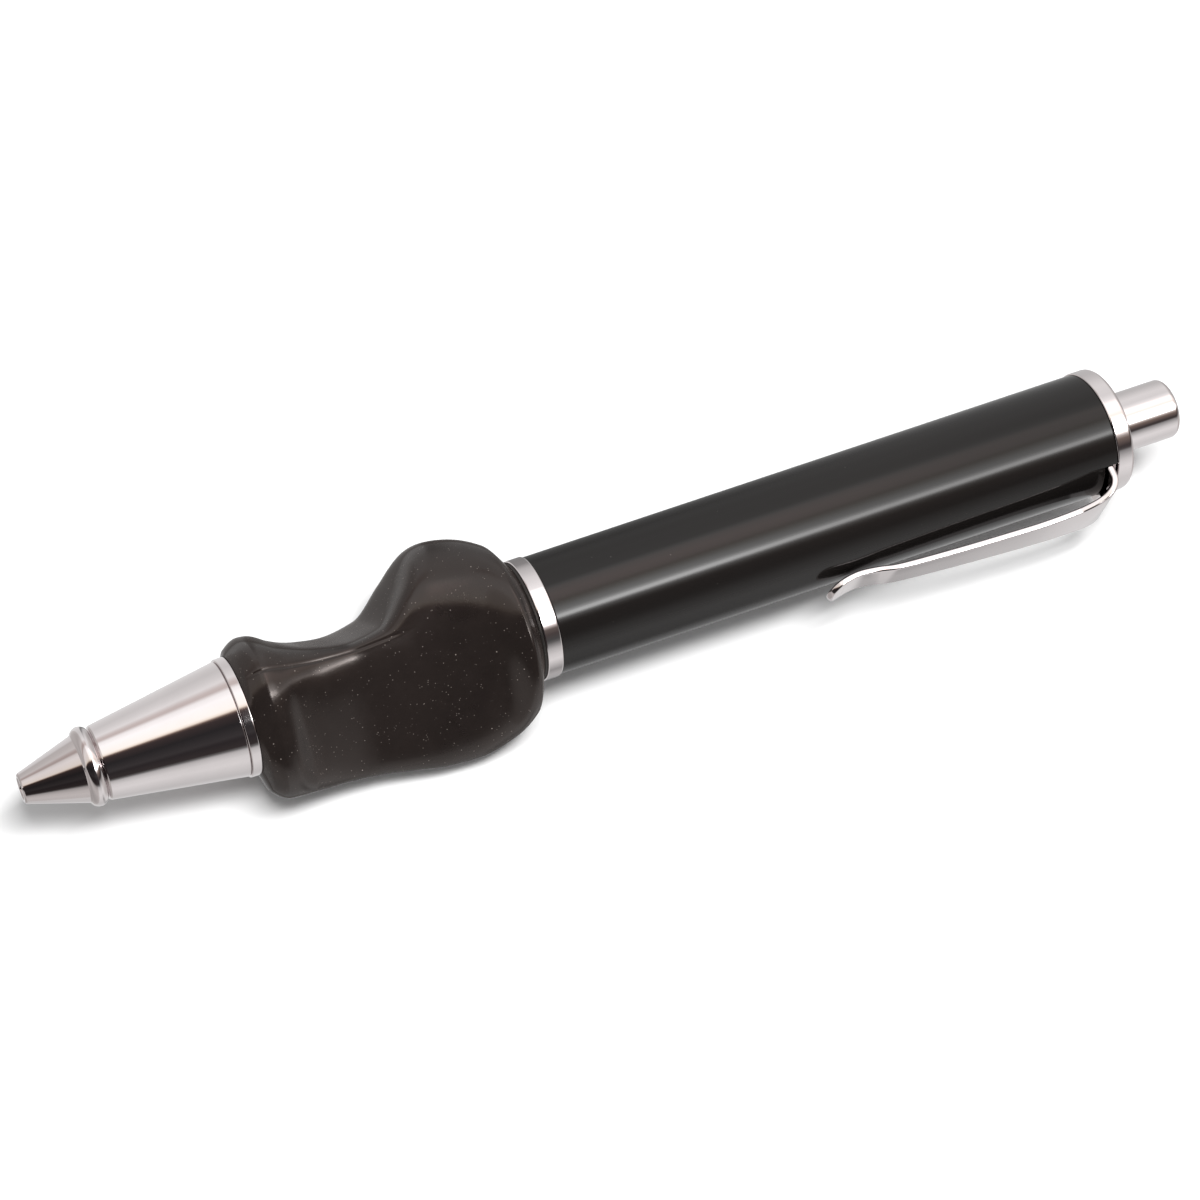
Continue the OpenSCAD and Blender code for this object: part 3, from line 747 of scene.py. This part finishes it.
# --------------------------------------------------------------------------
# return spring: a coil between the nose and the refill's shoulder
# --------------------------------------------------------------------------
SPR_X0, SPR_X1, SPR_R, SPR_W, TURNS = 4.85, 17.85, 2.05, 0.2, 9


def ease(u):
    e = 0.11
    if u < e:
        return 0.35 * u
    if u > 1 - e:
        return 1 - 0.35 * (1 - u)
    return 0.35 * e + (1 - 0.7 * e) * (u - e) / (1 - 2 * e)


def build_spring():
    steps = TURNS * 40
    loops = []
    for i in range(steps + 1):
        u = i / steps
        a = 2 * math.pi * TURNS * u
        x = SPR_X0 + SPR_W + (SPR_X1 - SPR_X0 - 2 * SPR_W) * ease(u)
        c = np.array([x, SPR_R * math.cos(a), SPR_R * math.sin(a)])
        out = np.array([0, math.cos(a), math.sin(a)])
        ring = []
        for j in range(14):
            b = 2 * math.pi * j / 14
            ring.append(tuple(c + SPR_W * (math.cos(b) * out + math.sin(b) * np.array([1, 0, 0]))))
        loops.append(ring)
    return skin("return_spring_coil", loops, 60.0, flip=True)


spring = build_spring()
paint(spring, M_SPRING)
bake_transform(spring)
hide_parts("return_spring")

# --------------------------------------------------------------------------
# CAD pieces that stay: finer materials
# --------------------------------------------------------------------------
for node, mat in {
    "lower_barrel": M_BRASS, "barrel_insert": M_BRASS2, "mechanism_housing": M_HOUSING,
    "thrust_plunger": M_PLUNGER, "rotor_cam": M_ROTOR, "refill_tube": M_STEEL,
    "refill_plug": M_PLUG, "refill_tip": M_TIP, "ink_column": M_INK,
    "writing_ball": M_BALL,
}.items():
    paint(nodes_cad[node], mat)
    for p in nodes_cad[node].data.polygons:
        p.use_smooth = True
    nodes_cad[node].data.set_sharp_from_angle(angle=math.radians(30))

# --------------------------------------------------------------------------
# stage: pale floor, studio surroundings, camera
# --------------------------------------------------------------------------
FLOOR_Z = cad_lo.z - 0.0001
me = bpy.data.meshes.new("floor")
S = 1.6
me.from_pydata([(-S, -S, FLOOR_Z), (S, -S, FLOOR_Z), (S, S, FLOOR_Z), (-S, S, FLOOR_Z)],
               [], [(0, 1, 2, 3)])
floor = bpy.data.objects.new("floor", me)
scene.collection.objects.link(floor)
fm = Mat("pale_floor")
fm.put("Base Color", fm.mix(fm.noise(14.0, 3.0), (0.93, 0.93, 0.93), (0.95, 0.95, 0.95)))
fm.put("Roughness", 0.9)
fm.put("Specular IOR Level", 0.0)
paint(floor, fm.m)
floor.visible_glossy = False

LAMP = 17.0       # the lamp against the room, which is about 1
AMBIENT = 0.42    # fill from all round for the dull surfaces
world = bpy.data.worlds.new("studio")
scene.world = world
world.use_nodes = True
wt = world.node_tree
wt.nodes.clear()


def wn(kind, **kw):
    n = wt.nodes.new(kind)
    for k, v in kw.items():
        setattr(n, k, v)
    return n


wout = wn("ShaderNodeOutputWorld")
tc = wn("ShaderNodeTexCoord")
sep = wn("ShaderNodeSeparateXYZ")
wt.links.new(tc.outputs["Generated"], sep.inputs[0])
neg = wn("ShaderNodeMath", operation="MULTIPLY")
wt.links.new(sep.outputs[1], neg.inputs[0])
neg.inputs[1].default_value = -1.0
at = wn("ShaderNodeMath", operation="ARCTAN2")
wt.links.new(neg.outputs[0], at.inputs[0])
wt.links.new(sep.outputs[2], at.inputs[1])
mr = wn("ShaderNodeMapRange")
wt.links.new(at.outputs[0], mr.inputs["Value"])
mr.inputs["From Min"].default_value = -math.pi
mr.inputs["From Max"].default_value = math.pi


def grey(v):
    return v if isinstance(v, tuple) else (v, v, v)


def curve(source, stops):
    """Colour ramp over source (0..1); stops are quartered to keep them below 1."""
    r = wn("ShaderNodeValToRGB")
    wt.links.new(source, r.inputs[0])
    el = r.color_ramp.elements
    while len(el) < len(stops):
        el.new(0.5)
    for e, (pos, c) in zip(el, stops):
        e.position = pos
        e.color = (*(x / 4 for x in grey(c)), 1)
    return r.outputs[0]


def fade(source, lo, hi):
    r = wn("ShaderNodeMapRange", interpolation_type="SMOOTHSTEP")
    wt.links.new(source, r.inputs["Value"])
    r.inputs["From Min"].default_value = lo
    r.inputs["From Max"].default_value = hi
    return r.outputs[0]


def blend_colour(f, a, b):
    m = wn("ShaderNodeMix", data_type="RGBA")
    wt.links.new(f, m.inputs[0])
    wt.links.new(a, m.inputs[6])
    wt.links.new(b, m.inputs[7])
    return m.outputs[2]


# What the shiny parts see: brightness of the room by angle from the zenith
# towards the viewer's side, for rays towards the pen's front, along its
# middle and towards its back.
ROOM_FRONT = [(-180, 0.72), (-120, 0.9), (-84, 0.82), (-67, 0.92), (-52, 1.07),
              (-41, (0.82, 0.74, 0.72)), (-35, (0.78, 0.70, 0.68)), (-27, 1.3), (-15, 1.5),
              (8, (1.5, 1.46, 1.38)), (13, (1.3, 1.2, 1.05)), (16, (0.45, 0.34, 0.28)),
              (18, (0.14, 0.10, 0.09)), (22, (0.06, 0.045, 0.045)), (40, (0.03, 0.028, 0.03)),
              (62, (0.055, 0.05, 0.052)), (70, (0.035, 0.03, 0.032)), (86, (0.05, 0.042, 0.042)),
              (91, 0.2), (95, 0.62), (100, 0.76),
              (110, 0.93), (125, 0.98), (142, 0.86), (165, 0.72), (180, 0.72)]
ROOM_MID = [(-180, 0.5), (-152, 0.3), (-116, 0.28), (-93, 0.34), (-77, 0.66), (-63, 0.8), (-50, 0.98),
            (-39, 1.07), (-24, 1.25), (-19, 1.9), (-14, (2.7, 2.45, 2.4)),
            (-3, (3.1, 2.6, 2.5)), (6, (2.8, 2.35, 2.25)), (13, (2.0, 1.75, 1.6)),
            (18, (1.5, 1.4, 1.25)), (27, 1.4), (47, (1.05, 0.98, 0.95)),
            (52, (0.36, 0.30, 0.28)), (57, (0.17, 0.14, 0.13)), (66, (0.095, 0.078, 0.075)),
            (77, 0.09), (82, 0.16), (87, 0.32), (96, 0.63), (108, 0.88), (120, 1.0),
            (134, 0.7), (149, 0.4), (165, 0.55), (180, 0.5)]
ROOM_BACK = [(-180, 0.85), (-155, 0.62), (-100, 0.7), (-83, 0.8), (-54, 1.03), (-31, 0.98),
             (-19, 1.2), (-10, (1.9, 1.75, 1.7)), (4, (1.8, 1.65, 1.6)), (12, (1.5, 1.4, 1.3)),
             (29, 1.5), (41, (1.3, 1.22, 1.16)), (45, (0.8, 0.7, 0.62)), (49, (0.36, 0.29, 0.25)),
             (58, (0.22, 0.17, 0.15)), (66, (0.12, 0.095, 0.09)), (71, (0.06, 0.05, 0.05)),
             (76, (0.09, 0.08, 0.08)), (80, 0.35), (88, 0.58), (100, 0.9), (113, 1.05),
             (143, 0.88), (180, 0.85)]
views = [curve(mr.outputs[0], [((deg + 180) / 360, c) for deg, c in room])
         for room in (ROOM_FRONT, ROOM_MID, ROOM_BACK)]
room = blend_colour(fade(sep.outputs[0], 0.165, 0.24), views[0], views[1])
room = blend_colour(fade(sep.outputs[0], 0.27, 0.42), room, views[2])
# a long narrow lamp, bright over the middle and absent over the front
lamp_angle = curve(mr.outputs[0], [((deg + 180) / 360, v) for deg, v in
                                   ((12, 0.0), (20, 0.45), (30, 1.1), (35, 2.4), (37, 4.0),
                                    (41, 4.0), (43.5, 1.6), (46, 0.4), (51, 0.1), (56, 0.0))])
along = wn("ShaderNodeMapRange")
wt.links.new(sep.outputs[0], along.inputs["Value"])
along.inputs["From Min"].default_value = -1.0
along.inputs["From Max"].default_value = 1.0
# and it falls away towards both ends of the room
ends = curve(along.outputs[0], [((v + 1) / 2, c) for v, c in
                                ((-1.0, (2.6, 2.5, 2.45)), (-0.4, (2.7, 2.6, 2.55)),
                                 (-0.22, (3.2, 3.1, 3.05)), (-0.18, 4.0), (0.5, 4.0),
                                 (0.62, (3.2, 3.1, 3.05)), (0.8, (2.8, 2.7, 2.65)), (1.0, 2.6))])
shaded = wn("ShaderNodeVectorMath", operation="MULTIPLY")
wt.links.new(room, shaded.inputs[0])
wt.links.new(ends, shaded.inputs[1])
lamp_along = curve(along.outputs[0], [((v + 1) / 2, c) for v, c in
                                      ((0.165, 0.0), (0.2, 0.9), (0.235, 4.0), (0.29, 4.0),
                                       (0.33, 2.6), (0.37, 2.3), (0.5, 2.2), (0.6, 1.2),
                                       (0.68, 0.4), (1.0, 0.3))])
lamp = wn("ShaderNodeVectorMath", operation="MULTIPLY")
wt.links.new(lamp_angle, lamp.inputs[0])
wt.links.new(lamp_along, lamp.inputs[1])
lamp_scaled = wn("ShaderNodeVectorMath", operation="SCALE")
wt.links.new(lamp.outputs[0], lamp_scaled.inputs[0])
lamp_scaled.inputs["Scale"].default_value = LAMP
room_scaled = wn("ShaderNodeVectorMath", operation="SCALE")
wt.links.new(shaded.outputs[0], room_scaled.inputs[0])
room_scaled.inputs["Scale"].default_value = 4.0
total = wn("ShaderNodeVectorMath", operation="ADD")
wt.links.new(lamp_scaled.outputs[0], total.inputs[0])
wt.links.new(room_scaled.outputs[0], total.inputs[1])
bg_gloss = wn("ShaderNodeBackground")
wt.links.new(total.outputs[0], bg_gloss.inputs[0])
bg_plain = wn("ShaderNodeBackground")
bg_plain.inputs[0].default_value = (1, 1, 1, 1)
bg_plain.inputs[1].default_value = AMBIENT
bg_cam = wn("ShaderNodeBackground")
bg_cam.inputs[0].default_value = (1, 1, 1, 1)
lp = wn("ShaderNodeLightPath")
mixa = wn("ShaderNodeMixShader")
wt.links.new(lp.outputs["Is Glossy Ray"], mixa.inputs[0])
wt.links.new(bg_plain.outputs[0], mixa.inputs[1])
wt.links.new(bg_gloss.outputs[0], mixa.inputs[2])
mixb = wn("ShaderNodeMixShader")
wt.links.new(lp.outputs["Is Camera Ray"], mixb.inputs[0])
wt.links.new(mixa.outputs[0], mixb.inputs[1])
wt.links.new(bg_cam.outputs[0], mixb.inputs[2])
wt.links.new(mixb.outputs[0], wout.inputs[0])

# soft key from above and a little to the viewer's side of the zenith
key = bpy.data.lights.new("key", "AREA")
key.shape, key.size, key.size_y = "RECTANGLE", 0.34, 0.16
key.energy = 3.6
key_ob = bpy.data.objects.new("key", key)
scene.collection.objects.link(key_ob)
key_ob.location = (0.10, -0.13, 0.56)
key_ob.rotation_mode = "QUATERNION"
key_ob.rotation_quaternion = (Vector((0.07, 0, 0)) - key_ob.location).to_track_quat("-Z", "Y")
key_ob.visible_glossy = False

scene.view_settings.view_transform = "Standard"
scene.view_settings.look = "None"

# camera: looks down on the pen at the photograph's angle through a shift lens
TILT = math.radians(28)
b = Vector((0, -math.sin(TILT), math.cos(TILT)))
down = Vector((1, 0, 0)).cross(b)
roll = math.radians(18.43)
right = Vector((1, 0, 0)) * math.cos(roll) + down * math.sin(roll)
up = Vector((1, 0, 0)) * math.sin(roll) - down * math.cos(roll)
cam = bpy.data.cameras.new("camera")
cam_ob = bpy.data.objects.new("camera", cam)
scene.collection.objects.link(cam_ob)
scene.camera = cam_ob
cam_ob.location = Vector((-0.0373, 0, 0)) + b * 0.4037
cam_ob.rotation_mode = "QUATERNION"
cam_ob.rotation_quaternion = Matrix((right, up, b)).transposed().to_quaternion()
cam.sensor_width = 36.0
cam.lens = 100.92
cam.clip_start, cam.clip_end = 0.01, 10.0
SHIFT = (0.7287, 0.2395)
# the shift belongs to this standpoint only: it drops to nothing elsewhere
stand = bpy.data.objects.new("standpoint", None)
scene.collection.objects.link(stand)
stand.location = cam_ob.location
stand.hide_render = True
for path, value in (("shift_x", SHIFT[0]), ("shift_y", SHIFT[1])):
    fc = cam.driver_add(path)
    for m in list(fc.modifiers):
        fc.modifiers.remove(m)
    d = fc.driver
    d.type = "SUM"
    var = d.variables.new()
    var.type = "LOC_DIFF"
    var.targets[0].id = cam_ob
    var.targets[1].id = stand
    for off, v in ((0.0, value), (0.02, 0.0), (0.5, 0.0)):
        kp = fc.keyframe_points.insert(off, v)
        kp.interpolation = "LINEAR"
    fc.extrapolation = "CONSTANT"
